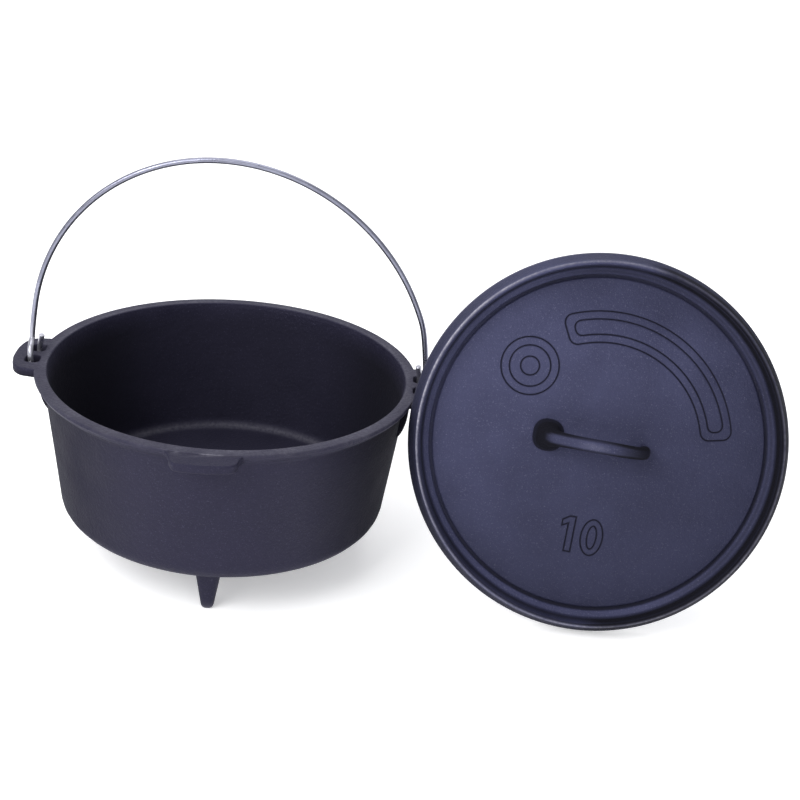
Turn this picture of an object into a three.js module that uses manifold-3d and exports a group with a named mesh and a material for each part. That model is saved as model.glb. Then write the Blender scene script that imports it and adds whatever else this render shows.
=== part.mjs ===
// A camp dutch oven in three loose pieces: a cast pot on three legs, a cast lid with a coal rim and
// a loop handle, and a wire bail that hooks through the pot's ears.
// Millimetres, +Z up. The origin is the centre of the pot's flat underside, +X runs through the
// right ear, and the pouring tab and the front leg are on -Y. The lid stands on its edge beside
// the pot, leaning back, in front of the right ear.
import * as THREE from "three";
import { mergeVertices } from "three/addons/utils/BufferGeometryUtils.js";
import Module from "manifold-3d";

// Pot body
const POT_HEIGHT = 107;
const FLOOR_THICKNESS = 7;
const WALL_TOP_RADIUS = 129.3;
const WALL_DRAFT = 0.131; // radius lost per millimetre going down
const FOOT_FILLET = 14;
const RIM_INNER_RADIUS = 127;
const RIM_OUTER_RADIUS = 135;
const LIP_HEIGHT = 9;
const CAVITY_TOP_RADIUS = 125.4;
const CAVITY_FLOOR_RADIUS = 112.6;
const CAVITY_FILLET = 9;

// Ears that carry the bail, one on each side
const EAR_THICKNESS = 6.5;
const EAR_OUTER_RADIUS = 151.2;
const EAR_ROOT_HALF_WIDTH = 28.5;
const HOLE_INNER_X = 131.8;
const HOLE_OUTER_X = 141.8;
const HOLE_NEAR_Y = 3.8; // half the width of the web between the two holes
const HOLE_FAR_Y = 15.8;
const HOLE_CORNER = 3.5;
const PAD_HALF_WIDTH = 27;
const PAD_BOTTOM_Z = 74;
const PAD_OUTER_X = 129.8;

// Pouring and lifting tab on the front of the rim
const TAB_TOP_Z = 106.3;
const TAB_THICKNESS = 6;
const TAB_LEFT_X = -28;
const TAB_RIGHT_X = 26;
const TAB_FRONT_Y = -150.6;
const TAB_SIDE_Y = -142; // where the sides run straight out

// Legs
const GROUND_Z = -32;
const LEG_ANGLES = [-89, 31, 151];
const LEG_RADIUS = 93;
const LEG_ROOT = { width: 21.5, depth: 19 };
const LEG_TIP = { width: 9.6, depth: 8.6 };

// Lid, in its own frame: its seat is z = 0 and its face looks along +Z
const LID_RADIUS = 132;
const LID_EDGE_Z = 0.6; // height of the skirt's widest line
const LID_SEAT_RADIUS = 124.9;
const LID_STEP_DEPTH = 3.2;
const LID_PLATE = 4.6;
const COAL_RIM_HEIGHT = 16;
const COAL_RIM_OUTER_RADIUS = 126.9;
const COAL_RIM_INNER_RADIUS = 124.2;
const COAL_RIM_FOOT_RADIUS = 121.2;
const BEAD_Z = 3.2;
const GROOVE_RADIUS = 116.3;
const GROOVE_HALF_WIDTH = 1.3;
const GROOVE_Z = 1.2;
const FACE_RADIUS = 112.7;
const FACE_EDGE_Z = 2.2;
const DOME_RISE = 5;
const LID_LEAN = 19.7; // degrees back from upright
const LID_YAW = -1.1;
const LID_SPIN = -5;
const LID_CENTRE_X = 262.1;
const LID_CENTRE_Y = -39.7;

// Lid handle
const HANDLE_LEFT_X = -35.5;
const HANDLE_RIGHT_X = 31;
const HANDLE_TOP_Z = 31;
const HANDLE_ROOT_Z = 3.5;
const HANDLE_HALF_WIDTH = 5.2;
const HANDLE_HALF_THICKNESS = 4.3;
const HANDLE_SQUARENESS = 0.52; // 1 is a plain half ellipse, less is flatter on top
const HANDLE_STEPS = 20;
const HANDLE_SIDES = 12;

// Bail
const WIRE_RADIUS = 2;
const WIRE_SIDES = 8;
const WIRE_STEPS = 150;
const HOOK_X = 137;
const HOOK_RADIUS = 10;
const HOOK_PIVOT_Z = POT_HEIGHT;
const ELBOW_RADIUS = 4;
const ARCH_HALF_WIDTH = 139.5;
const ARCH_RISE = 143.7;
const ARCH_BASE_Z = HOOK_PIVOT_Z + 8.3;
const ARCH_CENTRE_X = 1.9;
const ARCH_SIDE_SET = -9.8; // how far the hand-bent top leans to the left

// Facets round a turned piece, and the shortest edge worth keeping
const TURN_SEGMENTS = 72;
const SMALLEST_EDGE = 0.02;

const wasm = await Module();
wasm.setup();

const point = (x, y) => new THREE.Vector2(x, y);
const radians = THREE.MathUtils.degToRad;

// A closed geometry as a solid that can be joined and cut.
function solid(geometry) {
  const bare = geometry.clone();
  bare.deleteAttribute("normal");
  bare.deleteAttribute("uv");
  const merged = mergeVertices(bare, 1e-4);
  return new wasm.Manifold(
    new wasm.Mesh({
      numProp: 3,
      vertProperties: merged.attributes.position.array,
      triVerts: new Uint32Array(merged.index.array),
    }),
  );
}

// A solid as a geometry with flat facets.
function geometryOf(made) {
  const mesh = made.simplify(SMALLEST_EDGE).getMesh();
  const geometry = new THREE.BufferGeometry();
  geometry.setAttribute("position", new THREE.BufferAttribute(mesh.vertProperties, 3));
  geometry.setIndex(new THREE.BufferAttribute(mesh.triVerts, 1));
  geometry.computeVertexNormals();
  return geometry;
}

// Points along an arc, angles in degrees.
function arc(x, y, radius, from, to, steps) {
  return Array.from({ length: steps + 1 }, (_, i) => {
    const angle = radians(from + ((to - from) * i) / steps);
    return point(x + radius * Math.cos(angle), y + radius * Math.sin(angle));
  });
}

// A profile of (radius, z) points turned about the Z axis.
function turned(profile) {
  return new THREE.LatheGeometry(profile, TURN_SEGMENTS).rotateX(Math.PI / 2);
}

// A flat outline pushed up from one height to another.
function prism(outline, bottom, top) {
  const geometry = new THREE.ExtrudeGeometry(outline, {
    depth: top - bottom,
    bevelEnabled: false,
    curveSegments: 6,
  });
  return geometry.translate(0, 0, bottom);
}

// A solid skinned over rings of points, all with the same number of points.
function loft(rings) {
  const sides = rings[0].length;
  const last = rings.length - 1;
  const middle = (ring) => ring.reduce((sum, p) => sum.add(p), new THREE.Vector3()).divideScalar(sides);
  const corners = [...rings.flat(), middle(rings[0]), middle(rings[last])];
  const [firstMiddle, lastMiddle] = [sides * rings.length, sides * rings.length + 1];
  const faces = [];
  for (let side = 0; side < sides; side++) {
    const next = (side + 1) % sides;
    for (let ring = 0; ring < last; ring++) {
      const low = ring * sides;
      const high = low + sides;
      faces.push(low + side, low + next, high + next);
      faces.push(low + side, high + next, high + side);
    }
    faces.push(firstMiddle, next, side);
    faces.push(lastMiddle, last * sides + side, last * sides + next);
  }
  const geometry = new THREE.BufferGeometry().setFromPoints(corners);
  return geometry.setIndex(faces);
}

const DRAFT_ANGLE = THREE.MathUtils.radToDeg(Math.atan(WALL_DRAFT));
const wallRadius = (z) => WALL_TOP_RADIUS - WALL_DRAFT * (POT_HEIGHT - z);

// The outside of the pot, solid to the rim: rounded foot, drafted wall and flared lip.
function potOutside() {
  const footCentreX = wallRadius(FOOT_FILLET) - FOOT_FILLET;
  const lipFoot = POT_HEIGHT - LIP_HEIGHT;
  return turned([
    point(0, 0),
    ...arc(footCentreX, FOOT_FILLET, FOOT_FILLET, -90, -DRAFT_ANGLE, 6),
    point(wallRadius(lipFoot), lipFoot),
    point(RIM_OUTER_RADIUS - 1.2, POT_HEIGHT - 4.2),
    point(RIM_OUTER_RADIUS, POT_HEIGHT - 1.8),
    point(RIM_OUTER_RADIUS - 0.8, POT_HEIGHT),
    point(0, POT_HEIGHT),
  ]);
}

// The space inside the pot, carried a little above the rim.
function potCavity() {
  const filletX = CAVITY_FLOOR_RADIUS - CAVITY_FILLET;
  return turned([
    point(0, FLOOR_THICKNESS),
    ...arc(filletX, FLOOR_THICKNESS + CAVITY_FILLET, CAVITY_FILLET, -90, -DRAFT_ANGLE, 5),
    point(CAVITY_TOP_RADIUS, POT_HEIGHT - 3),
    point(CAVITY_TOP_RADIUS + 0.3, POT_HEIGHT - 1),
    point(RIM_INNER_RADIUS, POT_HEIGHT),
    point(RIM_INNER_RADIUS, POT_HEIGHT + 1),
    point(0, POT_HEIGHT + 1),
  ]);
}

// The flat lug that a bail hooks through, before its holes are cut. It runs out along +X.
function earPlate() {
  const outline = new THREE.Shape();
  const tipHalfAngle = 0.06;
  const [shoulder, corner, cheek] = [point(140, 27), point(147, 25), point(149.6, 15.5)];
  outline.moveTo(CAVITY_FLOOR_RADIUS, -EAR_ROOT_HALF_WIDTH);
  outline.lineTo(RIM_OUTER_RADIUS - 2, -EAR_ROOT_HALF_WIDTH);
  outline.lineTo(shoulder.x, -shoulder.y);
  outline.quadraticCurveTo(corner.x, -corner.y, cheek.x, -cheek.y);
  outline.absarc(0, 0, EAR_OUTER_RADIUS, -tipHalfAngle, tipHalfAngle, false);
  outline.lineTo(cheek.x, cheek.y);
  outline.quadraticCurveTo(corner.x, corner.y, shoulder.x, shoulder.y);
  outline.lineTo(RIM_OUTER_RADIUS - 2, EAR_ROOT_HALF_WIDTH);
  outline.lineTo(CAVITY_FLOOR_RADIUS, EAR_ROOT_HALF_WIDTH);
  return prism(outline, POT_HEIGHT - EAR_THICKNESS, POT_HEIGHT);
}

// The thickened pad on the wall below an ear, drawn from the side and pushed across.
function earPad() {
  const side = new THREE.Shape();
  const padTopZ = POT_HEIGHT - EAR_THICKNESS + 1;
  side.moveTo(CAVITY_FLOOR_RADIUS, PAD_BOTTOM_Z - 1);
  side.lineTo(CAVITY_FLOOR_RADIUS + 8, PAD_BOTTOM_Z);
  side.quadraticCurveTo(PAD_OUTER_X - 5.3, PAD_BOTTOM_Z + 2.5, PAD_OUTER_X - 2.4, PAD_BOTTOM_Z + 10);
  side.quadraticCurveTo(PAD_OUTER_X - 0.4, PAD_BOTTOM_Z + 15, PAD_OUTER_X, padTopZ);
  side.lineTo(CAVITY_FLOOR_RADIUS, padTopZ);
  const geometry = prism(side, -PAD_HALF_WIDTH, PAD_HALF_WIDTH);
  return geometry.rotateX(Math.PI / 2);
}

// One hole of an ear, a rounded rectangle.
function earHole(nearY, farY) {
  const r = HOLE_CORNER;
  const outline = new THREE.Shape();
  outline.moveTo(HOLE_INNER_X + r, nearY);
  outline.absarc(HOLE_OUTER_X - r, nearY + r, r, -Math.PI / 2, 0, false);
  outline.absarc(HOLE_OUTER_X - r, farY - r, r, 0, Math.PI / 2, false);
  outline.absarc(HOLE_INNER_X + r, farY - r, r, Math.PI / 2, Math.PI, false);
  outline.absarc(HOLE_INNER_X + r, nearY + r, r, Math.PI, Math.PI * 1.5, false);
  return prism(outline, PAD_BOTTOM_Z, POT_HEIGHT + 1);
}

// The tab at the front of the rim, just below the lid's seat. Its free edge was cast a little
// askew: it stands further out on the left than on the right.
function tab() {
  const outline = new THREE.Shape();
  const root = -CAVITY_TOP_RADIUS + 2;
  outline.moveTo(TAB_LEFT_X, root);
  outline.lineTo(TAB_LEFT_X, -130.8);
  outline.quadraticCurveTo(-23, -133.5, -21, TAB_SIDE_Y);
  outline.quadraticCurveTo(-20, TAB_FRONT_Y + 2, -16, TAB_FRONT_Y + 1.2);
  outline.quadraticCurveTo(0, TAB_FRONT_Y - 1.2, 17.5, TAB_FRONT_Y + 3.2);
  outline.quadraticCurveTo(22, TAB_FRONT_Y + 4.4, 22.8, TAB_SIDE_Y);
  outline.quadraticCurveTo(23.4, -134.6, TAB_RIGHT_X, -132);
  outline.lineTo(TAB_RIGHT_X, root);
  return prism(outline, TAB_TOP_Z - TAB_THICKNESS, TAB_TOP_Z);
}

// A ring round a leg: a rectangle with its corners taken off, x outwards and y across.
function legRing(z, width, depth) {
  const cut = width * 0.2;
  const [x, y] = [depth / 2, width / 2];
  const corners = [
    [x, cut - y],
    [x, y - cut],
    [x - cut, y],
    [cut - x, y],
    [-x, y - cut],
    [-x, cut - y],
    [cut - x, -y],
    [x - cut, -y],
  ];
  return corners.map(([outwards, across]) => new THREE.Vector3(LEG_RADIUS + outwards, across, z));
}

// One tapered leg, from inside the floor down to its small flat foot.
function leg(angle) {
  const shoulder = GROUND_Z + 2.5;
  const share = (z) => z / GROUND_Z;
  const width = (z) => THREE.MathUtils.lerp(LEG_ROOT.width, LEG_TIP.width, share(z));
  const depth = (z) => THREE.MathUtils.lerp(LEG_ROOT.depth, LEG_TIP.depth, share(z));
  const rings = [
    legRing(GROUND_Z, LEG_TIP.width - 2.4, LEG_TIP.depth - 2.4),
    legRing(shoulder, width(shoulder), depth(shoulder)),
    legRing(0, LEG_ROOT.width, LEG_ROOT.depth),
    legRing(FLOOR_THICKNESS - 3, LEG_ROOT.width, LEG_ROOT.depth),
  ];
  return loft(rings).rotateZ(radians(angle));
}

function potSolid() {
  let pot = solid(potOutside());
  for (const turn of [0, Math.PI]) {
    pot = pot.add(solid(earPlate().rotateZ(turn))).add(solid(earPad().rotateZ(turn)));
  }
  for (const angle of LEG_ANGLES) {
    pot = pot.add(solid(leg(angle)));
  }
  pot = pot.add(solid(tab())).subtract(solid(potCavity()));
  for (const turn of [0, Math.PI]) {
    pot = pot.subtract(solid(earHole(HOLE_NEAR_Y, HOLE_FAR_Y).rotateZ(turn)));
    pot = pot.subtract(solid(earHole(-HOLE_FAR_Y, -HOLE_NEAR_Y).rotateZ(turn)));
  }
  return pot;
}

// Height of the lid's domed face at a radius.
const faceZ = (radius) => FACE_EDGE_Z + DOME_RISE * (1 - (radius / FACE_RADIUS) ** 2);

// Radii at which the dome is drawn, from the middle to its edge.
const DOME_SHARES = [0, 0.3, 0.55, 0.78, 1];

// The plate of the lid: seat, coal rim, groove and domed face in one turned profile.
function lidPlate() {
  const radii = DOME_SHARES.map((share) => share * FACE_RADIUS);
  const under = radii.map((radius) => point(radius, faceZ(radius) - LID_PLATE));
  const face = radii.map((radius) => point(radius, faceZ(radius))).reverse();
  return turned([
    ...under,
    point(LID_SEAT_RADIUS - 5, -LID_STEP_DEPTH),
    point(LID_SEAT_RADIUS - 0.8, -LID_STEP_DEPTH),
    point(LID_SEAT_RADIUS, -LID_STEP_DEPTH + 0.8),
    point(LID_SEAT_RADIUS, 0),
    point(LID_RADIUS - 0.5, 0),
    point(LID_RADIUS, LID_EDGE_Z),
    point(LID_RADIUS - 0.7, 4),
    point(COAL_RIM_OUTER_RADIUS, COAL_RIM_HEIGHT - 0.8),
    point(COAL_RIM_OUTER_RADIUS - 0.7, COAL_RIM_HEIGHT),
    point(COAL_RIM_INNER_RADIUS + 0.6, COAL_RIM_HEIGHT),
    point(COAL_RIM_INNER_RADIUS, COAL_RIM_HEIGHT - 0.7),
    point(COAL_RIM_FOOT_RADIUS, BEAD_Z + 1.4),
    point(COAL_RIM_FOOT_RADIUS - 1.4, BEAD_Z),
    point(GROOVE_RADIUS + GROOVE_HALF_WIDTH, BEAD_Z - 0.8),
    point(GROOVE_RADIUS + GROOVE_HALF_WIDTH - 0.5, GROOVE_Z),
    point(GROOVE_RADIUS - GROOVE_HALF_WIDTH, GROOVE_Z),
    ...face,
  ]);
}

// Half the width of the handle across, and half its thickness, at a share of the way along it.
function handleSize(share) {
  const rootFlare = Math.exp(-share / 0.09);
  const endFlare = Math.exp(-(1 - share) / 0.06);
  return {
    across: HANDLE_HALF_WIDTH - 1.1 * share + 7 * rootFlare + 0.6 * endFlare,
    thick: HANDLE_HALF_THICKNESS - 0.4 * share + 7.5 * rootFlare + 0.8 * endFlare,
  };
}

// The loop handle: a thick flared root on the left, a flat-topped arch, and a slender right leg.
function lidHandle() {
  const middleX = (HANDLE_LEFT_X + HANDLE_RIGHT_X) / 2;
  const halfSpan = (HANDLE_RIGHT_X - HANDLE_LEFT_X) / 2;
  const rise = HANDLE_TOP_Z - HANDLE_HALF_THICKNESS - HANDLE_ROOT_Z;
  const centre = (share) => {
    const angle = Math.PI * (1 - share);
    const sideways = Math.sign(Math.cos(angle)) * Math.abs(Math.cos(angle)) ** HANDLE_SQUARENESS;
    const upwards = Math.sin(angle) ** HANDLE_SQUARENESS;
    return new THREE.Vector3(middleX + halfSpan * sideways, 0, HANDLE_ROOT_Z + rise * upwards);
  };
  const rings = Array.from({ length: HANDLE_STEPS + 1 }, (_, step) => {
    const share = step / HANDLE_STEPS;
    const [before, after] = [centre(Math.max(0, share - 0.02)), centre(Math.min(1, share + 0.02))];
    const along = after.sub(before).normalize();
    const outwards = new THREE.Vector3(-along.z, 0, along.x);
    const size = handleSize(share);
    return Array.from({ length: HANDLE_SIDES }, (_unused, side) => {
      const angle = (2 * Math.PI * side) / HANDLE_SIDES;
      const ringPoint = centre(share).addScaledVector(outwards, size.thick * Math.cos(angle));
      return ringPoint.add(new THREE.Vector3(0, -size.across * Math.sin(angle), 0));
    });
  });
  return loft(rings);
}

function lidSolid() {
  return solid(lidPlate()).add(solid(lidHandle()));
}

// One end of the bail, from its cut tip up to the arch: up through the rear hole, under the web,
// up through the front hole and over. side is -1 on the left and 1 on the right.
function hookPoints(side) {
  const elbowZ = Math.sqrt((HOOK_RADIUS + ELBOW_RADIUS) ** 2 - ELBOW_RADIUS ** 2);
  const elbowAngle = THREE.MathUtils.radToDeg(Math.asin(ELBOW_RADIUS / (HOOK_RADIUS + ELBOW_RADIUS)));
  const place = (outwards, y, z) => new THREE.Vector3(side * (HOOK_X + outwards), y, HOOK_PIVOT_Z + z);
  const points = [place(-2.8, 8.1, 10.9), place(-1.9, 9.1, 6.5)];
  const [tailAngle, neckAngle] = [80, 360 - elbowAngle];
  const steps = 10;
  for (let step = 0; step <= steps; step++) {
    const share = step / steps;
    const angle = radians(tailAngle + (neckAngle - tailAngle) * share);
    points.push(place(3.2 * share - 1, HOOK_RADIUS * Math.sin(angle), HOOK_RADIUS * Math.cos(angle)));
  }
  points.push(place(2.2, -0.5, elbowZ - 1.9));
  points.push(place(2.2, 0, elbowZ + 0.6));
  return points;
}

// The middle of the bail, half an ellipse between the left hook and the right one. Its first and
// last steps are left to the hooks.
function archPoints() {
  const steps = 26;
  const first = 2;
  return Array.from({ length: steps - 2 * first + 1 }, (_, i) => {
    const angle = Math.PI * (1 - (i + first) / steps);
    const x = ARCH_CENTRE_X + ARCH_HALF_WIDTH * Math.cos(angle) + ARCH_SIDE_SET * Math.sin(angle);
    return new THREE.Vector3(x, 0, ARCH_BASE_Z + ARCH_RISE * Math.sin(angle));
  });
}

function bailWire() {
  const route = [...hookPoints(-1), ...archPoints(), ...hookPoints(1).reverse()];
  const section = new THREE.Shape(arc(0, 0, WIRE_RADIUS, 0, 360 - 360 / WIRE_SIDES, WIRE_SIDES - 1));
  return new THREE.ExtrudeGeometry(section, {
    extrudePath: new THREE.CatmullRomCurve3(route, false, "centripetal"),
    steps: WIRE_STEPS,
    bevelEnabled: false,
  });
}

function mesh(name, geometry, material) {
  const made = new THREE.Mesh(geometry, new THREE.MeshStandardMaterial(material));
  made.name = name;
  return made;
}

const castIron = { color: 0x2e2c36, roughness: 0.62, metalness: 0.35 };
const steelWire = { color: 0x6f6f7c, roughness: 0.38, metalness: 0.9 };

// The lid is turned on its own axis, leaned back, then turned to face the front.
const lean = radians(LID_LEAN);
const lid = mesh("lid", geometryOf(lidSolid()), castIron);
lid.rotation.z = radians(LID_SPIN);
const leaning = new THREE.Group();
leaning.rotation.x = Math.PI / 2 - lean;
leaning.add(lid);
const standing = new THREE.Group();
const lidCentreZ = GROUND_Z + LID_RADIUS * Math.cos(lean) - LID_EDGE_Z * Math.sin(lean);
standing.position.set(LID_CENTRE_X, LID_CENTRE_Y, lidCentreZ);
standing.rotation.z = radians(LID_YAW);
standing.add(leaning);

const oven = new THREE.Group();
oven.add(mesh("pot", geometryOf(potSolid()), castIron));
oven.add(mesh("bail", bailWire(), steelWire));
oven.add(standing);

export default oven;
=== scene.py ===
"""The looks of a camp dutch oven: a seasoned cast iron pot and lid and a wire bail.

Lengths are written in millimetres and turned to metres where a mesh is made. The frame is the
part's own: z = 0 is the pot's underside, +X runs through the right ear, the tab is on -Y.
"""

import math

import bmesh
import bpy
from mathutils import Matrix, Vector, noise


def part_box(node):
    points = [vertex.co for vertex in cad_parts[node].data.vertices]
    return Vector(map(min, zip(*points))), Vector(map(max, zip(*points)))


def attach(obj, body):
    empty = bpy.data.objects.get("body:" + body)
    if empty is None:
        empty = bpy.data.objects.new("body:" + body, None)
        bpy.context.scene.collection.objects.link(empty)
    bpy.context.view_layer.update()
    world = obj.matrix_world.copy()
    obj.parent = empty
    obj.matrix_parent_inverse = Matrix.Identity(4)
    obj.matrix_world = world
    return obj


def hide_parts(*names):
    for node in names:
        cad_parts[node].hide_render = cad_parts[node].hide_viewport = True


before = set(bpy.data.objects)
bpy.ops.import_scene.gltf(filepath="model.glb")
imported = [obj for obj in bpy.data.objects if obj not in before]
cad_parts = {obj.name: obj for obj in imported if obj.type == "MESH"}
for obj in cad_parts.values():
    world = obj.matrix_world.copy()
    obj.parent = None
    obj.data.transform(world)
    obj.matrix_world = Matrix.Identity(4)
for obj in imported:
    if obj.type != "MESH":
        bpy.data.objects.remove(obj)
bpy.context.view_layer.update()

MM = 0.001
RIM_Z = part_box("pot")[1][2] / MM
GROUND_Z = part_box("pot")[0][2] / MM

# Pot
FLOOR_Z = 7.0
WALL_TOP_RADIUS = 129.3
WALL_DRAFT = 0.131
WALL_PLAIN_TOP_Z = 96
CAVITY_FLOOR_RADIUS = 111.6
CAVITY_TOP_RADIUS = 125.4
RIM_INNER = 127.0
RIM_OUTER = 135.0
EAR_RADIUS = 151.2
EAR_THICKNESS = 6.5
EAR_SUNK = 0.03
HOLE_INNER_X = 131.8
HOLE_OUTER_X = 141.8
HOLE_NEAR_Y = 3.8
HOLE_FAR_Y = 15.8
HOLE_CORNER = 3.6
TAB_TOP_Z = 106.3
TAB_THICKNESS = 6.0
TAB_LEFT_X = -28.0
TAB_RIGHT_X = 26.0
TAB_FRONT_Y = -150.6
TAB_LEFT_RISE = 2.4
LEG_ANGLES = (-89, 31, 151)
LEG_RADIUS = 93.0
# Half a leg's width and depth, at its root and at its tip
LEG_ROOT_WIDE = 9.4
LEG_TIP_WIDE = 4.1
LEG_ROOT_DEEP = 9.4
LEG_TIP_DEEP = 4.4
LEG_SHOULDER_Z = -28.6
LEG_ROOT_FILLET = 5
LEG_SQUARENESS = 0.62

# Lid, in its own frame
LID_RADIUS = 132.0
LID_EDGE_Z = 0.6
FACE_RADIUS = 112.7
FACE_EDGE_Z = 2.2
DOME_RISE = 5.0
PLATE_THICKNESS = 4.6
STEP_RADIUS = 124.9
STEP_Z = -3.2
COAL_RIM_Z = 16
HANDLE_LEFT_X = -35.5
HANDLE_RIGHT_X = 31.0
HANDLE_ROOT_Z = 3.5
HANDLE_TOP_Z = 31
HANDLE_HALF_THICKNESS = 4.3
GROOVE_HALF_WIDTH = 0.85
GROOVE_DEPTH = 0.75
LID_LEAN = math.radians(19.7)
LID_YAW = math.radians(-1.1)
LID_SPIN = math.radians(-5)
LID_CENTRE = (262.1, -39.7)

# Bail
WIRE_RADIUS = 2.0
HOOK_X = 137.0
HOOK_RADIUS = 10.0
ELBOW_RADIUS = 4.0
ARCH_HALF_WIDTH = 139.5
ARCH_RISE = 143.7
ARCH_BASE = 8.3
ARCH_CENTRE_X = 1.9
ARCH_SIDE_SET = -9.8
END_BEVEL_DEPTH = 0.35
END_BEVEL_LENGTH = 0.3

# Edges that turn more than this stay crisp
CREASE_DEGREES = 38
WIRE_CREASE_DEGREES = 40

# Floor and backdrop
FLOOR_HALF = 6000
BACKDROP_START = 3000
BACKDROP_BEND = 1500
BACKDROP_TOP = 6000

# Camera. The last is where the middle of the mouth lies from it: right, down, ahead, in millimetres
LENS = 72
LOOK_DOWN = math.radians(24.75)
CAMERA_ROLL = math.radians(5.2)
CAMERA_TURN = math.radians(-0.9)
MOUTH_FROM_CAMERA = (-121.8, -22.0, 1136.2)

# Where every lamp points, in metres
LAMP_AIM = (0.1, 0, 0.05)


# ---------------------------------------------------------------- meshes


def make(name, points, faces):
    """An object from points in millimetres and faces, with its faces turned outwards."""
    mesh = bpy.data.meshes.new(name)
    mesh.from_pydata([Vector(p) * MM for p in points], [], faces)
    made = bmesh.new()
    made.from_mesh(mesh)
    bmesh.ops.recalc_face_normals(made, faces=made.faces)
    made.to_mesh(mesh)
    made.free()
    obj = bpy.data.objects.new(name, mesh)
    bpy.context.scene.collection.objects.link(obj)
    return obj


def stack(name, rings):
    """A solid skinned over rings of points and closed at both ends."""
    n = len(rings[0])
    points = [p for ring in rings for p in ring]
    faces = []
    for r in range(len(rings) - 1):
        for i in range(n):
            j = (i + 1) % n
            faces.append((r * n + i, r * n + j, (r + 1) * n + j, (r + 1) * n + i))
    faces.append(tuple(range(n)))
    faces.append(tuple((len(rings) - 1) * n + i for i in range(n)))
    return make(name, points, faces)


def hoop(name, rings):
    """A closed loop of rings, the last joined to the first."""
    n = len(rings[0])
    count = len(rings)
    points = [p for ring in rings for p in ring]
    faces = []
    for r in range(count):
        s = (r + 1) % count
        for i in range(n):
            j = (i + 1) % n
            faces.append((r * n + i, r * n + j, s * n + j, s * n + i))
    return make(name, points, faces)


def turned(name, profile, columns):
    """A profile of (radius, z) from the axis round to the axis again, turned about Z."""
    inner = profile[1:-1]
    points = [(0, 0, profile[0][1]), (0, 0, profile[-1][1])]
    for c in range(columns):
        a = 2 * math.pi * c / columns
        points += [(r * math.cos(a), r * math.sin(a), z) for r, z in inner]
    n = len(inner)
    faces = []
    for c in range(columns):
        here = 2 + c * n
        there = 2 + ((c + 1) % columns) * n
        faces.append((0, there, here))
        for i in range(n - 1):
            faces.append((here + i, there + i, there + i + 1, here + i + 1))
        faces.append((1, here + n - 1, there + n - 1))
    return make(name, points, faces)


def rounded(corners, step, arc_steps):
    """A polyline of (x, y, corner radius), with its corners rounded and its long runs divided."""
    out = [tuple(corners[0][:2])]
    for k in range(1, len(corners) - 1):
        before = Vector(corners[k - 1][:2])
        here = Vector(corners[k][:2])
        after = Vector(corners[k + 1][:2])
        radius = corners[k][2]
        to_before = (before - here).normalized()
        to_after = (after - here).normalized()
        half = 0.5 * to_before.angle(to_after)
        if radius <= 0 or half > 1.56:
            out.append(tuple(here))
            continue
        reach = radius / math.tan(half)
        reach = min(reach, 0.49 * (before - here).length, 0.49 * (after - here).length)
        radius = reach * math.tan(half)
        centre = here + (to_before + to_after).normalized() * radius / math.sin(half)
        start = here + to_before * reach - centre
        turn = start.angle_signed(here + to_after * reach - centre)
        for i in range(arc_steps + 1):
            a = -turn * i / arc_steps
            spun = Matrix.Rotation(a, 2) @ start
            out.append(tuple(centre + spun))
    out.append(tuple(corners[-1][:2]))
    full = [out[0]]
    for a, b in zip(out, out[1:]):
        length = math.dist(a, b)
        parts = max(1, math.ceil(length / step))
        for i in range(1, parts + 1):
            t = i / parts
            full.append((a[0] + (b[0] - a[0]) * t, a[1] + (b[1] - a[1]) * t))
    return full


def quad(p0, c, p1, steps=8):
    """Points along a quadratic curve, without its first point."""
    points = []
    for i in range(1, steps + 1):
        t = i / steps
        u = 1 - t
        x = u * u * p0[0] + 2 * u * t * c[0] + t * t * p1[0]
        y = u * u * p0[1] + 2 * u * t * c[1] + t * t * p1[1]
        points.append((x, y))
    return points


def arc(cx, cy, radius, start, end, steps):
    """Points along an arc, angles in degrees."""
    angles = [math.radians(start + (end - start) * i / steps) for i in range(steps + 1)]
    return [(cx + radius * math.cos(a), cy + radius * math.sin(a)) for a in angles]


def inset(outline, distance):
    """A closed counter-clockwise outline moved inwards by a distance."""
    n = len(outline)
    moved = []
    for i in range(n):
        p, q, r = (Vector(outline[(i + k) % n]) for k in (-1, 0, 1))
        a = (q - p).normalized()
        b = (r - q).normalized()
        normal = Vector((-a.y - b.y, a.x + b.x)).normalized()
        share = max(0.35, normal.dot(Vector((-a.y, a.x))))
        moved.append(tuple(q + normal * distance / share))
    return moved


def slab(name, outline, low, high, edge, place=lambda x, y, z: (x, y, z)):
    """A plate with rounded edges: an outline carried from low to high."""
    rings = []
    steps = 3
    for k in range(steps + 1):
        a = math.pi / 2 * k / steps
        rings.append((edge * (1 - math.sin(a)), low + edge * (1 - math.cos(a))))
    for k in range(steps + 1):
        a = math.pi / 2 * (1 - k / steps)
        rings.append((edge * (1 - math.sin(a)), high - edge * (1 - math.cos(a))))
    return stack(name, [[place(x, y, z) for x, y in inset(outline, d)] for d, z in rings])


def combine(obj, others, operation):
    """Joins the others to obj, or cuts them from it, and removes them."""
    for other in others:
        tool = obj.modifiers.new("join", "BOOLEAN")
        tool.operation = operation
        tool.solver = "MANIFOLD"
        tool.object = other
        evaluated = obj.evaluated_get(bpy.context.evaluated_depsgraph_get())
        mesh = bpy.data.meshes.new_from_object(evaluated)
        obj.modifiers.clear()
        obj.data = mesh
        bpy.data.objects.remove(other)


def tidy(obj):
    """Merges slivers, smooths the shading and keeps real edges crisp."""
    made = bmesh.new()
    made.from_mesh(obj.data)
    bmesh.ops.remove_doubles(made, verts=made.verts, dist=0.00002)
    bmesh.ops.dissolve_degenerate(made, edges=made.edges, dist=0.00001)
    made.to_mesh(obj.data)
    made.free()
    obj.data.shade_smooth()
    obj.data.set_sharp_from_angle(angle=math.radians(CREASE_DEGREES))
    weighted = obj.modifiers.new("weighted", "WEIGHTED_NORMAL")
    weighted.keep_sharp = True
    weighted.weight = 60


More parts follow.
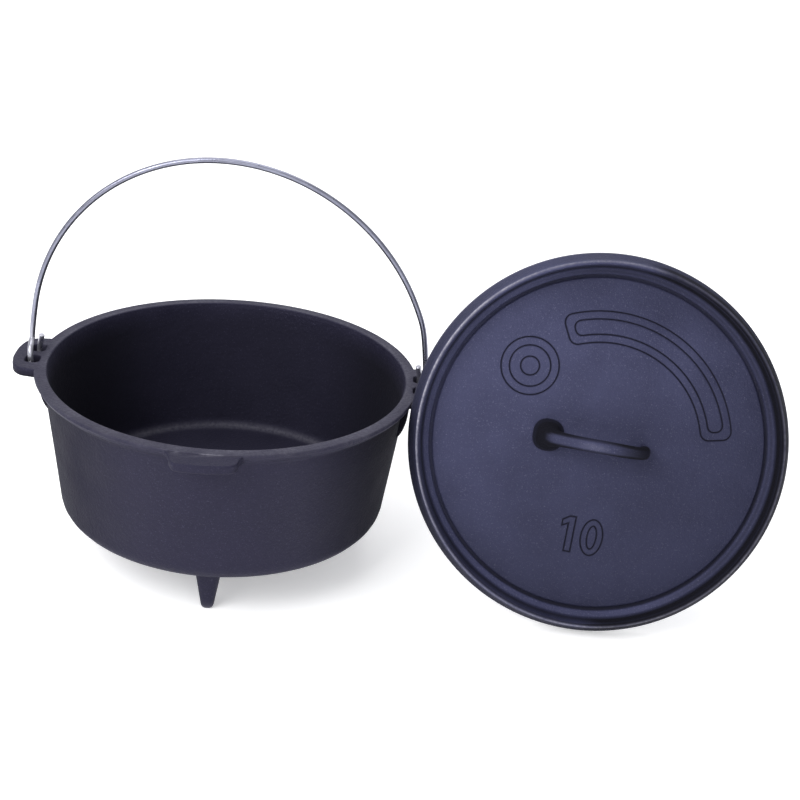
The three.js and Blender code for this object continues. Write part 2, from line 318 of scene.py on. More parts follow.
def paint(obj, name, value):
    """A number at every vertex, from a function of its place in millimetres."""
    layer = obj.data.attributes.new(name, "FLOAT", "POINT")
    layer.data.foreach_set("value", [value(v.co / MM) for v in obj.data.vertices])


def bump(x, centre, half_width):
    """1 at the centre, falling smoothly to 0 at half a width either side."""
    t = max(0.0, 1 - abs(x - centre) / half_width)
    return t * t * (3 - 2 * t)


def above(x, low, high):
    """0 below low, 1 above high."""
    t = min(1.0, max(0.0, (x - low) / (high - low)))
    return t * t * (3 - 2 * t)


def patchy(p, size, seed):
    """Smooth noise from 0 to 1 with patches of a size in millimetres."""
    shifted = Vector((p[0] / size + seed * 7.31, p[1] / size - seed * 3.17, p[2] / size + seed))
    return 0.5 + 0.5 * noise.noise(shifted)


# ---------------------------------------------------------------- pot


def wall_radius(z):
    """The outside of the drafted wall at a height."""
    return WALL_TOP_RADIUS - WALL_DRAFT * (RIM_Z - z)


def uneven(obj, strength):
    """Moves the walls in and out a little, as a sand mould leaves them."""
    for v in obj.data.vertices:
        p = v.co / MM
        reach = math.hypot(p.x, p.y)
        if reach > 5 and 1 < p.z < WALL_PLAIN_TOP_Z:
            swell = (patchy(p, 60, 1) - 0.5) * 0.35 + (patchy(p, 22, 2) - 0.5) * 0.1
            fade = above(WALL_PLAIN_TOP_Z - p.z, 0, 12)
            v.co += Vector((p.x, p.y, 0)) / reach * swell * fade * strength * MM


def pot_outside():
    """The floor, wall and rim from outside, as a full solid."""
    corners = [
        (0, 0, 0),
        (wall_radius(0), 0, 14),
        (wall_radius(98), 98, 4),
        (RIM_OUTER - 1.3, RIM_Z - 4.4, 2.5),
        (RIM_OUTER + 0.1, RIM_Z - 1.9, 1.2),
        (RIM_OUTER - 0.6, RIM_Z, 0.8),
        (0, RIM_Z, 0),
    ]
    made = turned("pot_body", rounded(corners, step=7, arc_steps=6), 256)
    uneven(made, 1.0)
    return made


def pot_cavity():
    """The space inside the pot, carried a little above the rim."""
    corners = [
        (0, FLOOR_Z, 0),
        (CAVITY_FLOOR_RADIUS, FLOOR_Z, 9),
        (CAVITY_TOP_RADIUS, RIM_Z - 3.5, 6),
        (RIM_INNER - 0.9, RIM_Z - 0.6, 0.8),
        (RIM_INNER + 0.1, RIM_Z + 0.1, 0),
        (RIM_INNER + 0.1, RIM_Z + 3, 0),
        (0, RIM_Z + 3, 0),
    ]
    made = turned("pot_cavity", rounded(corners, step=7, arc_steps=6), 256)
    uneven(made, 0.8)
    return made


def turned_by(angle):
    """A placing function that turns a point about the Z axis."""
    c, s = math.cos(angle), math.sin(angle)
    return lambda x, y, z: (c * x - s * y, s * x + c * y, z)


def ear_outline():
    """An ear seen from above, running out along +X from inside the rim."""
    half = [(112, 28.3), (133, 28.3), (140, 27.2)]
    half += quad((140, 27.2), (147.2, 25.2), (149.7, 15.5), 10)
    tip = arc(0, 0, EAR_RADIUS, 3.2, -3.2, 6)
    lower = [(x, -y) for x, y in reversed(half)]
    return list(reversed(half + tip + lower))


def hole_outline(near, far):
    """A slot with rounded corners, from near to far across the ear."""
    r = HOLE_CORNER
    points = arc(HOLE_OUTER_X - r, near + r, r, -90, 0, 5)
    points += arc(HOLE_OUTER_X - r, far - r, r, 0, 90, 5)
    points += arc(HOLE_INNER_X + r, far - r, r, 90, 180, 5)
    points += arc(HOLE_INNER_X + r, near + r, r, 180, 270, 5)
    return points


def hole_cutter(name, outline, place):
    """A hole that opens out a little at the ear's upper face."""
    under = RIM_Z - EAR_THICKNESS
    mouths = [(0, under - 24), (0, under), (0, under + 0.8)]
    mouths += [(0, RIM_Z - 1.2), (0.15, RIM_Z - 0.6), (0.5, RIM_Z - 0.2)]
    mouths += [(1.1, RIM_Z + 0.2), (1.1, RIM_Z + 2)]
    return stack(name, [[place(x, y, z) for x, y in inset(outline, -d)] for d, z in mouths])


def ear_pad(name, place):
    """The thickened part of the wall below an ear, carried across with rounded ends."""
    side = [(112, 73.2), (121.2, 74.8)]
    side += quad((121.2, 74.8), (126.0, 78.4), (127.9, 86), 6)
    side += quad((127.9, 86), (129.5, 91), (129.9, 101.5), 6)
    side += [(112, 101.5)]
    ends = [(2.4, -27.2), (1.1, -26.8), (0.3, -26.0), (0, -24.8)]
    ends += [(0, 24.8), (0.3, 26.0), (1.1, 26.8), (2.4, 27.2)]
    return stack(name, [[place(x - d, y, z) for x, z in side] for d, y in ends])


def tab_outline():
    """The tab's free edge was cast askew: it stands further out on the left."""
    front = TAB_FRONT_Y
    points = [(TAB_LEFT_X, -118), (TAB_LEFT_X, -130.8)]
    points += quad((TAB_LEFT_X, -130.8), (-23, -133.5), (-21, -142))
    points += quad((-21, -142), (-20, front + 2), (-16, front + 1.2), 6)
    points += quad((-16, front + 1.2), (0, front - 1.2), (17.5, front + 3.2), 10)
    points += quad((17.5, front + 3.2), (22, front + 4.4), (22.8, -142), 6)
    points += quad((22.8, -142), (23.4, -134.6), (TAB_RIGHT_X, -132))
    return points + [(TAB_RIGHT_X, -118)]


def front_tab():
    """The tab on the rim. Its underside rises towards its left end."""
    made = slab("tab", tab_outline(), TAB_TOP_Z - TAB_THICKNESS, TAB_TOP_Z, 1.3)
    for v in made.data.vertices:
        if v.co.z < (TAB_TOP_Z - TAB_THICKNESS / 2) * MM:
            v.co.z += TAB_LEFT_RISE * above(-v.co.x / MM, 15, 24) * MM
    return made


def leg(name, angle):
    """A tapered leg with soft corners, a swelling where it meets the pot and a worn tip."""
    place = turned_by(math.radians(angle))
    rings = []
    levels = [4, 2, 0.4, -0.6, -1.6, -2.8, -4.2, -6, -10, -15, -20, -25, LEG_SHOULDER_Z]
    levels += [-29.8, -30.8, -31.5, -31.85, GROUND_Z]
    for z in levels:
        share = min(1, max(0, z / GROUND_Z))
        wide = LEG_ROOT_WIDE + (LEG_TIP_WIDE - LEG_ROOT_WIDE) * share
        deep = LEG_ROOT_DEEP + (LEG_TIP_DEEP - LEG_ROOT_DEEP) * share
        foot = 0.0
        if z <= LEG_SHOULDER_Z:
            foot = 1.9 * (1 - math.sqrt(max(0, 1 - ((z - LEG_SHOULDER_Z) / 3.4) ** 2)))
        root = 0.0
        if z >= -LEG_ROOT_FILLET:
            rise = min(1, (z + LEG_ROOT_FILLET) / LEG_ROOT_FILLET)
            root = 2.6 * (1 - math.sqrt(max(0, 1 - rise**2)))
        ring = []
        for i in range(32):
            a = 2 * math.pi * i / 32
            c, s = math.cos(a), math.sin(a)
            x = math.copysign(abs(c) ** LEG_SQUARENESS, c) * (deep - foot + root)
            y = math.copysign(abs(s) ** LEG_SQUARENESS, s) * (wide - foot + root)
            ring.append(place(LEG_RADIUS + x, y, z))
        rings.append(ring)
    return stack(name, rings)


def pot_wear_and_highlight(p):
    """Where the pot is rubbed bare: rim, tab edge and leg tips, with a painted highlight at the inner
    floor corner.
    """
    r = math.hypot(p.x, p.y)
    top = above(p.z, RIM_Z - 0.6, RIM_Z - 0.1)
    land = top * above(r, 125.5, 127.5) * (0.02 + 0.05 * patchy(p, 9, 3))
    lip = bump(r, RIM_INNER + 0.2, 0.9) * above(p.z, RIM_Z - 1.2, RIM_Z - 0.3) * 0.14
    edge = 0.12 * bump(r, RIM_OUTER - 0.4, 1.4) * above(p.z, RIM_Z - 3.5, RIM_Z - 1)
    rub = bump(p.z, RIM_Z - 0.2, 0.9) * bump(r, 134.6, 1.0) * above(-p.y, 122, 131) * bump(p.x, -2, 30)
    # Painted highlight: a bright band at the inner floor corner, where the fillet catches the light.
    ring = 0.34 * bump(p.z, FLOOR_Z + 3, 3.2) * bump(r, 107.5, 5.5)
    tip = 0.2 * above(-p.z, 27, 31)
    specks = 0.8 * rub * above(patchy(p, 2.6, 6), 0.45, 0.7)
    return min(1.0, land + (lip + edge) * patchy(p, 16, 4) + specks + ring + tip)


def pot_soot_and_shade(p):
    """Painted shade, with some soot, where the pot is darker: inside, under the ears and at the left and
    right of the wall.
    """
    r = math.hypot(p.x, p.y)
    wall = wall_radius(p.z)
    # Painted shade inside the pot, with some soot.
    inside = above(RIM_Z - p.z, 2, 16) * above(wall - 1.8 - r, 0, 0.6) * above(p.z, 2, 6.5)
    # Painted shade under the ears.
    under_ear = above(r, wall - 1.2, wall - 0.6) * bump(p.z, 96, 14) * above(abs(p.x), 118, 124)
    # Painted shade, darker towards the left and right ends inside.
    ends = inside * above(abs(p.x), 55, 115) * above(p.z, 8, 18)
    # Painted shade down the outer wall, heaviest on the right and also on the left.
    outside = above(r, wall - 1.2, wall - 0.6) * above(RIM_Z - 3 - p.z, 0, 5) * above(p.z, -1, 3)
    sides = outside * (0.95 * above(p.x, 55, 122) + 0.75 * above(-p.x, 35, 122))
    return min(1.0, 0.35 * inside + 0.55 * ends + 0.6 * under_ear + sides)


def pot():
    """The whole casting: body, ears with their pads and slots, tab and legs."""
    body = pot_outside()
    flush = RIM_Z - EAR_SUNK
    under = RIM_Z - EAR_THICKNESS
    adders = []
    cutters = []
    for label, angle in (("right", 0.0), ("left", math.pi)):
        place = turned_by(angle)
        adders.append(slab("ear_" + label, ear_outline(), under, flush, 1.1, place))
        adders.append(ear_pad("pad_" + label, place))
        for side, near, far in (("rear", HOLE_NEAR_Y, HOLE_FAR_Y), ("front", -HOLE_FAR_Y, -HOLE_NEAR_Y)):
            cutters.append(hole_cutter("hole_" + label + side, hole_outline(near, far), place))
    adders.append(front_tab())
    adders += [leg("leg_" + str(i), angle) for i, angle in enumerate(LEG_ANGLES)]
    combine(body, adders, "UNION")
    combine(body, [pot_cavity()] + cutters, "DIFFERENCE")
    tidy(body)
    paint(body, "wear_and_highlight", pot_wear_and_highlight)
    paint(body, "soot_and_shade", pot_soot_and_shade)
    return body


# ---------------------------------------------------------------- lid


def face_z(r):
    """The height of the slightly domed face."""
    return FACE_EDGE_Z + DOME_RISE * (1 - (r / FACE_RADIUS) ** 2)


def lid_plate():
    """The plate with its step below, its coal rim and the bead inside that."""
    shares = [i / 12 for i in range(13)]
    under = [(s * FACE_RADIUS, face_z(s * FACE_RADIUS) - PLATE_THICKNESS) for s in shares]
    face = [(s * FACE_RADIUS, face_z(s * FACE_RADIUS)) for s in reversed(shares)]
    edge = [
        (*under[-1], 0),
        (119.6, STEP_Z, 3),
        (STEP_RADIUS, STEP_Z, 1),
        (STEP_RADIUS, 0, 0.4),
        (LID_RADIUS, 0, 0.6),
        (131.2, 4.6, 4),
        (126.9, 14.6, 3),
        (126.6, COAL_RIM_Z, 1.0),
        (123.9, COAL_RIM_Z, 0.9),
        (121.3, 4.4, 2.0),
        (119.3, 3.5, 1.4),
        (117.7, 2.5, 0.9),
        (116.9, 0.7, 0.7),
        (115.5, 0.6, 0.7),
        (114.4, 1.9, 0.9),
        (*face[0], 0),
    ]
    profile = under[:-1] + rounded(edge, step=4, arc_steps=5) + face[1:]
    return turned("lid_plate", profile, 256)


def handle_size(share):
    """Half the handle's width and thickness at a share of its length; it flares at its roots."""
    root = math.exp(-share / 0.09)
    tail = math.exp(-(1 - share) / 0.06)
    across = 5.2 - 1.1 * share + 6.8 * root + 0.7 * tail
    thick = HANDLE_HALF_THICKNESS - 0.4 * share + 7.3 * root + 0.9 * tail
    return across, thick


def lid_handle():
    """A bar carried along a flat-topped arch."""
    middle = (HANDLE_LEFT_X + HANDLE_RIGHT_X) / 2
    span = (HANDLE_RIGHT_X - HANDLE_LEFT_X) / 2
    rise = HANDLE_TOP_Z - HANDLE_HALF_THICKNESS - HANDLE_ROOT_Z

    def centre(share):
        a = math.pi * (1 - share)
        c, s = math.cos(a), max(0.0, math.sin(a))
        x = middle + span * math.copysign(abs(c) ** 0.52, c)
        return Vector((x, 0, HANDLE_ROOT_Z + rise * s**0.52))

    rings = []
    steps = 60
    for k in range(steps + 1):
        share = 0.5 - 0.5 * math.cos(math.pi * k / steps)
        along = (centre(min(1, share + 0.012)) - centre(max(0, share - 0.012))).normalized()
        outwards = Vector((-along.z, 0, along.x))
        across, thick = handle_size(share)
        ring = []
        for i in range(28):
            a = 2 * math.pi * i / 28
            c, s = math.cos(a), math.sin(a)
            x = math.copysign(abs(c) ** 0.85, c) * thick
            y = -math.copysign(abs(s) ** 0.85, s) * across
            lump = 1 + 0.05 * (patchy((share * 60, a * 6, 0), 9, 8) - 0.5)
            ring.append(tuple(centre(share) + outwards * x * lump + Vector((0, y * lump + 0.4, 0))))
        rings.append(ring)
    return stack("lid_handle", rings)


def groove(name, outline):
    """A cutter that leaves a fine V-shaped line in the lid's face along a closed outline."""
    rings = []
    outer = inset(outline, -GROOVE_HALF_WIDTH)
    inner = inset(outline, GROOVE_HALF_WIDTH)
    lift = 0.5
    wide = 1 + lift / GROOVE_DEPTH
    for (x, y), (ox, oy), (ix, iy) in zip(outline, outer, inner):
        high = face_z(math.hypot(x, y)) + lift
        a = (x + (ox - x) * wide, y + (oy - y) * wide, high)
        b = (x + (ix - x) * wide, y + (iy - y) * wide, high)
        rings.append([a, b, (x, y, face_z(math.hypot(x, y)) - GROOVE_DEPTH)])
    return hoop(name, rings)


def dense(outline, step):
    """A closed outline with its long runs divided."""
    points = []
    for a, b in zip(outline, outline[1:] + outline[:1]):
        parts = max(1, math.ceil(math.dist(a, b) / step))
        for i in range(parts):
            t = i / parts
            points.append((a[0] + (b[0] - a[0]) * t, a[1] + (b[1] - a[1]) * t))
    return points


def circle(cx, cy, rx, ry, steps):
    """Points round a circle or an ellipse."""
    angles = [2 * math.pi * i / steps for i in range(steps)]
    return [(cx + rx * math.cos(a), cy + ry * math.sin(a)) for a in angles]


def arc_panel(inner, outer, start, end, corner):
    """A panel that follows an arc about the lid's middle, with rounded corners."""
    points = []
    spots = [(inner, start, 180, 270), (outer, start, 270, 360)]
    spots += [(outer, end, 0, 90), (inner, end, 90, 180)]
    for radius, angle, turn_from, turn_to in spots:
        to_middle = corner if radius == inner else -corner
        r = radius + to_middle
        shift = math.degrees(corner / r)
        at = angle + (shift if angle == start else -shift)
        cx, cy = r * math.cos(math.radians(at)), r * math.sin(math.radians(at))
        points += arc(cx, cy, corner, at + turn_from, at + turn_to, 5)
        if (radius, angle) == (outer, start):
            points += arc(0, 0, outer, start + shift + 2, end - shift - 2, 36)
    points += arc(0, 0, inner, end - 6, start + 6, 36)
    return points


def lid_marks():
    """Plain lines cast in the lid's face: three rings, an arc panel and the size number."""
    x, y = -56.5, 45.1
    outlines = [circle(x, y, r, r, n) for r, n in ((20, 72), (14.2, 56), (6.5, 32))]
    outlines.append(arc_panel(70.5, 92, 12, 116, 6))
    outlines.append(arc_panel(76, 86.5, 16, 112, 4.5))
    one = [(-5.6, -77.5), (-5.6, -52.5), (-9.6, -52.5), (-14.4, -55.6)]
    one += [(-14.4, -59.8), (-10.2, -57.6), (-10.2, -77.5)]
    outlines.append(dense(one, 2.0))
    outlines.append(circle(7.4, -65, 7.6, 12.7, 48))
    outlines.append(circle(7.4, -65, 3.2, 8.2, 36))
    return [groove("groove_" + str(i), outline) for i, outline in enumerate(outlines)]


def lid_wear_and_highlight(p):
    """Where the lid is rubbed bare: the coal rim's crest and the outer edge, with painted highlights on
    the crest towards the upper left and on the handle's top.
    """
    r = math.hypot(p.x, p.y)
    angle = math.degrees(math.atan2(p.y, p.x)) % 360
    crest = bump(r, 126.1, 0.9) * above(p.z, 15.2, 15.7)
    # Painted highlight: the crest's wear is made brighter towards the upper left.
    upper_left = bump(angle, 165, 65)
    right = bump((angle + 180) % 360, 145, 80)
    rim = crest * (0.35 + 0.7 * upper_left + 0.5 * right) * (0.3 + 0.9 * patchy(p, 7, 11))
    foot = 0.3 * bump(r, LID_RADIUS, 0.8) * bump(p.z, 0.8, 1.4)
    # Painted highlight in the middle of the handle's top.
    bar = 0.12 * above(p.z, 27, 30.4) * bump(p.x, -6, 14) * bump(p.y, 0, 3.5)
    return min(1.0, rim + foot + bar)


def lid_soot_and_shade(p):
    """Painted shade, with some soot, where the lid is darker: coal rim, lines, handle, and the top and
    lower right of the face.
    """
    r = math.hypot(p.x, p.y)
    angle = math.degrees(math.atan2(p.y, p.x)) % 360
    height = p.z - face_z(r)
    # Painted shade on the coal rim's inner wall.
    inner = bump(r, 122.4, 2.6) * bump(p.z, 9.3, 8)
    # Painted shade in the groove inside the coal rim.
    ring = bump(r, 116.2, 2.0) * above(2.4 - p.z, 0, 1.2) * above(p.z, -1, 0.2)
    # Painted shade in the lines cast in the face.
    line = above(-height, 0.15, 0.6) * above(height + 2.5, 0, 0.5) * above(112 - r, 0, 1)
    # Painted shade on the coal rim's outer side, lighter towards the upper left.
    skirt = above(r, 126.7, 127.3) * (0.8 - 0.55 * bump(angle, 120, 105))
    # Painted shade on the coal rim's crest, except towards the upper left.
    land = above(r, 123.4, 124.4) * above(125.9 - r, 0, 0.4) * above(p.z, 14, 15)
    land *= 0.8 * (1 - bump(angle, 115, 110))
    # Painted shade round the handle's left root.
    left = math.hypot((p.x + 35) / 17, p.y / 17)
    root = above(1.0 - left, -0.05, 0.2) * above(height, 0.2, 1.2) * above(27 - p.z, 0, 9)
    # Painted shade on the handle's bar, darkest along its edges and lightest in the middle.
    bar = above(height, 4, 8) * above(60 - r, 0, 5)
    sides = bar * (0.3 + 0.65 * above(abs(p.y - 0.4), 2.2, 3.8) - 0.3 * bump(p.x, -4, 22))
    # Painted shade on the bead towards the right.
    bead = 0.55 * bump(r, 119.2, 3.4) * above(p.z, 1.4, 2.2) * above(p.x + 0.6 * p.y, -30, 70)
    # Painted shade on the handle's right end.
    end = 0.6 * above(p.x, 6, 30) * above(p.z, 7.5, 10)
    face = above(0.5 - height, 0, 0.5) * above(height + 2.5, 0, 0.5)
    # Painted shade over the lower right of the face.
    low = 0.4 * face * above(0.7 * p.x - p.y, -130, 90)
    # Painted shadow under the coal rim at the top of the face.
    top = 0.25 * face * above(p.y, 70, 108)
    hollows = 0.85 * inner + 0.5 * ring + line + skirt + land + 0.9 * root
    return min(1.0, hollows + sides + end + low + top + bead)


def lid_place():
    """Stands the lid on its edge, leaning back in front of the right ear."""
    lift = GROUND_Z + LID_RADIUS * math.cos(LID_LEAN) - LID_EDGE_Z * math.sin(LID_LEAN)
    place = Matrix.Translation(Vector((LID_CENTRE[0], LID_CENTRE[1], lift)) * MM)
    place @= Matrix.Rotation(LID_YAW, 4, "Z")
    place @= Matrix.Rotation(math.pi / 2 - LID_LEAN, 4, "X")
    place @= Matrix.Rotation(LID_SPIN, 4, "Z")
    return place


def lid():
    """The whole casting: plate, handle and the lines in its face, painted lying and then stood up."""
    plate = lid_plate()
    combine(plate, [lid_handle()], "UNION")
    combine(plate, lid_marks(), "DIFFERENCE")
    tidy(plate)
    paint(plate, "wear_and_highlight", lid_wear_and_highlight)
    paint(plate, "soot_and_shade", lid_soot_and_shade)
    plate.data.transform(lid_place())
    return plate


# ---------------------------------------------------------------- bail


def hook_points(side):
    """One end of the wire from its cut tip, under the ear's web and up to the arch."""
    reach = HOOK_RADIUS + ELBOW_RADIUS
    elbow_z = math.sqrt(reach**2 - ELBOW_RADIUS**2)
    elbow_angle = math.degrees(math.asin(ELBOW_RADIUS / reach))

    def place(out, y, z):
        return Vector((side * (HOOK_X + out), y, RIM_Z + z))

    points = [place(-2.8, 8.1, 10.9), place(-1.9, 9.1, 6.5)]
    for step in range(11):
        share = step / 10
        a = math.radians(80 + (360 - elbow_angle - 80) * share)
        points.append(place(3.2 * share - 1, HOOK_RADIUS * math.sin(a), HOOK_RADIUS * math.cos(a)))
    points.append(place(2.2, -0.5, elbow_z - 1.9))
    points.append(place(2.2, 0, elbow_z + 0.6))
    return points


def arch_points():
    """The arch between the hooks. Its top is set a little to the left."""
    points = []
    for i in range(2, 25):
        a = math.pi * (1 - i / 26)
        x = ARCH_CENTRE_X + ARCH_HALF_WIDTH * math.cos(a) + ARCH_SIDE_SET * math.sin(a)
        points.append(Vector((x, 0, RIM_Z + ARCH_BASE + ARCH_RISE * math.sin(a))))
    return points


def smooth_path(knots, per_knot):
    """A centripetal curve through the knots."""
    ends = [knots[0] * 2 - knots[1]] + knots + [knots[-1] * 2 - knots[-2]]
    out = []
    for a, b, c, d in zip(ends, ends[1:], ends[2:], ends[3:]):
        t1 = (b - a).length ** 0.5
        t2 = t1 + (c - b).length ** 0.5
        t3 = t2 + (d - c).length ** 0.5
        for k in range(per_knot):
            t = t1 + (t2 - t1) * k / per_knot
            ab = a.lerp(b, t / t1)
            bc = b.lerp(c, (t - t1) / (t2 - t1))
            cd = c.lerp(d, (t - t2) / (t3 - t2))
            abc = ab.lerp(bc, t / t2)
            bcd = bc.lerp(cd, (t - t1) / (t3 - t1))
            out.append(abc.lerp(bcd, (t - t1) / (t2 - t1)))
    return out + [knots[-1]]


def bail_wear(p):
    """The wire is rubbed bright near its hooks."""
    return 0.12 + 0.7 * above(RIM_Z + 30 - p.z, 0, 22)


def bail_soot(p):
    """Dull patches along the wire."""
    return 0.5 * patchy(p, 24, 13) + 0.4 * patchy(p, 7, 14)


def bail():
    """The wire as one tube along its path, with its two cut ends bevelled."""
    knots = hook_points(-1) + arch_points() + list(reversed(hook_points(1)))
    path = smooth_path(knots, 9)
    rings = []
    side = Vector((0, 1, 0))
    last = len(path) - 1
    for i, p in enumerate(path):
        along = (path[min(last, i + 1)] - path[max(0, i - 1)]).normalized()
        side = (side - along * side.dot(along)).normalized()
        third = along.cross(side)
        radius = WIRE_RADIUS
        if i in (0, last):
            radius = WIRE_RADIUS - END_BEVEL_DEPTH
        ring = []
        for k in range(20):
            a = 2 * math.pi * k / 20
            ring.append(p + (side * math.cos(a) + third * math.sin(a)) * radius)
        if i == 1:
            start = path[0] + (path[1] - path[0]).normalized() * END_BEVEL_LENGTH
            rings.append([start + (q - p) for q in ring])
        if i == last:
            end = path[last] - (path[last] - path[last - 1]).normalized() * END_BEVEL_LENGTH
            rings.append([end + (q - p) * WIRE_RADIUS / radius for q in ring])
        rings.append(ring)
    wire = stack("bail_wire", rings)
    wire.data.shade_smooth()
    wire.data.set_sharp_from_angle(angle=math.radians(WIRE_CREASE_DEGREES))
    paint(wire, "wear_and_highlight", bail_wear)
    paint(wire, "soot_and_shade", bail_soot)
    return wire


# ---------------------------------------------------------------- materials


class Nodes:
    """A short way to build a material's node tree."""

    def __init__(self, name):
        self.material = bpy.data.materials.new(name)
        self.material.use_nodes = True
        self.tree = self.material.node_tree
        self.shader = self.tree.nodes["Principled BSDF"]

    def add(self, kind, **settings):
        node = self.tree.nodes.new(kind)
        for key, value in settings.items():
            setattr(node, key, value)
        return node

    def link(self, source, target):
        self.tree.links.new(source, target)

    def noise(self, scale, detail, roughness=0.55):
        place = self.add("ShaderNodeTexCoord").outputs["Object"]
        made = self.add("ShaderNodeTexNoise")
        made.inputs["Scale"].default_value = scale
        made.inputs["Detail"].default_value = detail
        made.inputs["Roughness"].default_value = roughness
        self.link(place, made.inputs["Vector"])
        return made.outputs["Fac"]

    def attribute(self, name):
        return self.add("ShaderNodeAttribute", attribute_name=name).outputs["Fac"]

    def spread(self, source, low, high, to_low, to_high):
        made = self.add("ShaderNodeMapRange")
        names = ("From Min", "From Max", "To Min", "To Max")
        for key, value in zip(names, (low, high, to_low, to_high)):
            made.inputs[key].default_value = value
        self.link(source, made.inputs["Value"])
        return made.outputs["Result"]

    def mix(self, factor, first, second):
        made = self.add("ShaderNodeMix", data_type="RGBA")
        sockets = (made.inputs[0], made.inputs[6], made.inputs[7])
        for socket, value in zip(sockets, (factor, first, second)):
            if hasattr(value, "node"):
                self.link(value, socket)
            elif isinstance(value, (int, float)):
                socket.default_value = value
            else:
                socket.default_value = (*value, 1)
        return made.outputs[2]

    def maths(self, operation, first, second):
        made = self.add("ShaderNodeMath", operation=operation)
        for socket, value in zip(made.inputs, (first, second)):
            if hasattr(value, "node"):
                self.link(value, socket)
            else:
                socket.default_value = value
        return made.outputs[0]

    def bumps(self, layers):
        """Bump from several height fields, each (field, distance in metres)."""
        normal = None
        for field, distance in layers:
            made = self.add("ShaderNodeBump")
            made.inputs["Distance"].default_value = distance
            self.link(field, made.inputs["Height"])
            if normal:
                self.link(normal, made.inputs["Normal"])
            normal = made.outputs["Normal"]
        self.link(normal, self.shader.inputs["Normal"])


def iron(name, low, high, bright, rough):
    """Seasoned cast iron: pebbled and blotchy, darkened by painted shade with some soot in its hollows
    and on its shaded sides, and worn pale on its edges, with painted highlights.
    """
    m = Nodes(name)
    blotch = m.spread(m.noise(26, 4), 0.3, 0.7, 0, 1)
    grain = m.noise(1100, 2, 0.7)
    pebble = m.noise(420, 2, 0.5)
    swell = m.noise(70, 3)
    colour = m.mix(blotch, low, high)
    colour = m.mix(m.spread(grain, 0.58, 0.76, 0, 0.7), colour, bright)
    wear_and_highlight = m.maths("MULTIPLY", m.attribute("wear_and_highlight"), m.spread(pebble, 0.3, 0.65, 0.55, 1.15))
    # Pale where the pieces are worn bare, and at painted highlights.
    colour = m.mix(wear_and_highlight, colour, (0.36, 0.35, 0.40))
    # Near black where the pieces carry painted shade, and some soot.
    colour = m.mix(m.attribute("soot_and_shade"), colour, (0.0035, 0.0033, 0.006))
    m.link(colour, m.shader.inputs["Base Color"])
    roughness = m.spread(m.maths("ADD", blotch, grain), 0.4, 1.4, rough - 0.08, rough + 0.1)
    roughness = m.maths("SUBTRACT", roughness, m.maths("MULTIPLY", wear_and_highlight, 0.12))
    roughness = m.maths("ADD", roughness, m.maths("MULTIPLY", m.attribute("soot_and_shade"), 0.32))
    m.link(roughness, m.shader.inputs["Roughness"])
    m.shader.inputs["Metallic"].default_value = 0.25
    m.shader.inputs["Specular IOR Level"].default_value = 0.28
    m.shader.inputs["Specular Tint"].default_value = (0.82, 0.82, 1.0, 1)
    m.bumps([(swell, 0.0004), (pebble, 0.00040), (grain, 0.00026)])
    return m.material


def steel(name):
    """Drawn steel wire: dull along the arch and brighter where it rubs."""
    m = Nodes(name)
    streak = m.noise(180, 3)
    colour = m.mix(m.attribute("soot_and_shade"), (0.30, 0.31, 0.40), (0.10, 0.10, 0.145))
    colour = m.mix(m.attribute("wear_and_highlight"), colour, (0.50, 0.50, 0.55))
    m.link(colour, m.shader.inputs["Base Color"])
    m.link(m.spread(streak, 0.3, 0.7, 0.24, 0.44), m.shader.inputs["Roughness"])
    m.shader.inputs["Metallic"].default_value = 0.95
    m.bumps([(m.noise(900, 2), 0.00006)])
    return m.material


def dress(obj, material, body, node):
    """Gives a piece its material, puts it under its body and hides the matching part from model.glb."""
    obj.data.materials.clear()
    obj.data.materials.append(material)
    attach(obj, body)
    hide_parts(node)


# ---------------------------------------------------------------- the object

pot_iron = iron("pot_iron", (0.0125, 0.0115, 0.026), (0.019, 0.0175, 0.036), (0.07, 0.066, 0.11), 0.60)
lid_iron = iron("lid_iron", (0.032, 0.034, 0.074), (0.050, 0.053, 0.108), (0.15, 0.15, 0.23), 0.54)
dress(pot(), pot_iron, "pot", "pot")
dress(lid(), lid_iron, "lid", "lid")
dress(bail(), steel("bail_steel"), "bail", "bail")


# ---------------------------------------------------------------- the stage


def plain(name, colour, roughness, glow):
    """An even material that also gives off a little white light."""
    m = Nodes(name)
    m.shader.inputs["Emission Color"].default_value = (1, 1, 1, 1)
    m.shader.inputs["Emission Strength"].default_value = glow
    m.shader.inputs["Base Color"].default_value = (*colour, 1)
    m.shader.inputs["Roughness"].default_value = roughness
    m.shader.inputs["Specular IOR Level"].default_value = 0.1
    return m.material


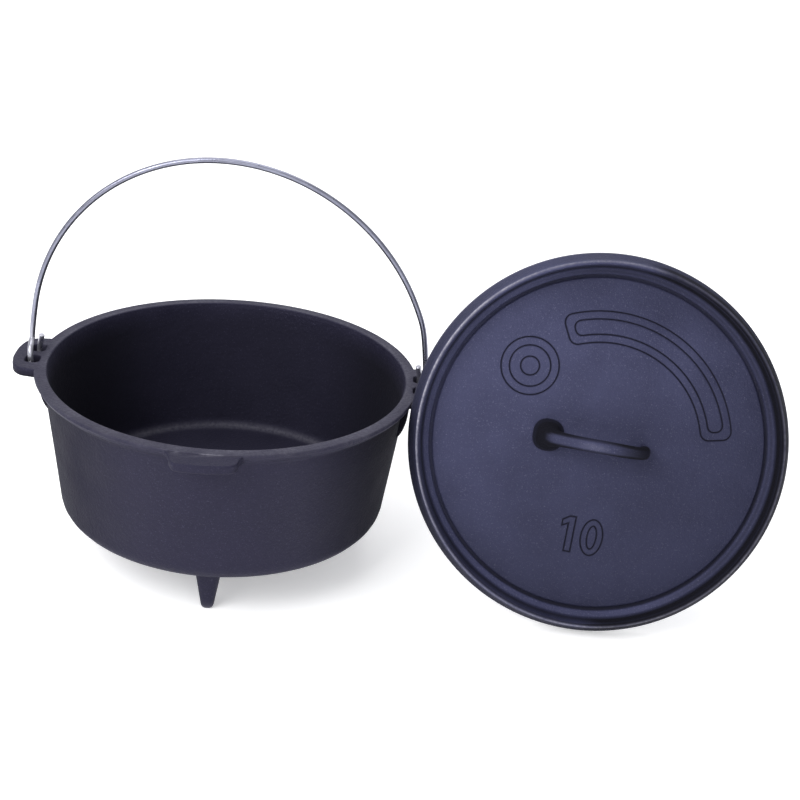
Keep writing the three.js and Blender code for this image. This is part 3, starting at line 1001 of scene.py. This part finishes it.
def floor():
    """A pale floor that curves up into a backdrop far behind the object."""
    profile = [(-FLOOR_HALF, GROUND_Z), (BACKDROP_START, GROUND_Z)]
    bend = arc(0, 0, BACKDROP_BEND, 90, 0, 12)[1:]
    profile += [(BACKDROP_START + x, GROUND_Z + BACKDROP_BEND - z) for x, z in bend]
    profile.append((BACKDROP_START + BACKDROP_BEND, BACKDROP_TOP))
    points = [(x, y, z) for y, z in profile for x in (-FLOOR_HALF, FLOOR_HALF)]
    faces = [(2 * i, 2 * i + 1, 2 * i + 3, 2 * i + 2) for i in range(len(profile) - 1)]
    sheet = make("floor", points, faces)
    sheet.data.shade_smooth()
    sheet.data.materials.append(plain("floor_white", (0.95, 0.95, 0.95), 0.8, 0.35))


def lamp(name, place, size, power):
    """A white rectangular lamp. Its place and size are in metres."""
    data = bpy.data.lights.new(name, "AREA")
    data.shape = "RECTANGLE"
    data.size, data.size_y = size
    data.energy = power
    made = bpy.data.objects.new(name, data)
    bpy.context.scene.collection.objects.link(made)
    made.location = place
    made.rotation_euler = (Vector(LAMP_AIM) - Vector(place)).to_track_quat("-Z", "Y").to_euler()


def camera():
    """The camera: 72 mm lens, looking 24.75 degrees down and rolled 5.2 degrees."""
    sp, cp = math.sin(LOOK_DOWN), math.cos(LOOK_DOWN)
    tilt = Matrix(((1, 0, 0), (0, -sp, -cp), (0, cp, -sp)))
    cr, sr = math.cos(CAMERA_ROLL), math.sin(CAMERA_ROLL)
    rolled = Matrix(((cr, -sr, 0), (sr, cr, 0), (0, 0, 1))) @ tilt
    turned_back = Matrix.Rotation(CAMERA_TURN, 3, "Z")
    away = rolled.transposed() @ Vector(MOUTH_FROM_CAMERA)
    eye = turned_back @ (-away) + Vector((0, 0, RIM_Z))
    right, under, ahead = (turned_back @ Vector(row) for row in rolled)
    place = Matrix((right, -under, -ahead)).transposed().to_4x4()
    place.translation = eye * MM
    data = bpy.data.cameras.new("camera")
    data.lens = LENS
    data.sensor_width = 36
    made = bpy.data.objects.new("camera", data)
    bpy.context.scene.collection.objects.link(made)
    made.matrix_world = place
    bpy.context.scene.camera = made


def surroundings():
    """An even pale light from all round, and colours shown as they are."""
    world = bpy.data.worlds.new("studio")
    bpy.context.scene.world = world
    world.use_nodes = True
    background = world.node_tree.nodes["Background"]
    background.inputs["Color"].default_value = (0.95, 0.96, 1.0, 1)
    background.inputs["Strength"].default_value = 0.5
    bpy.context.scene.view_settings.view_transform = "Standard"


floor()
camera()
lamp("key", (-0.9, -1.1, 1.3), (1.3, 1.1), 30)
lamp("fill", (0.5, -1.8, 0.9), (1.2, 1.2), 6)
lamp("top", (0.0, 0.5, 2.0), (1.8, 1.2), 18)
surroundings()
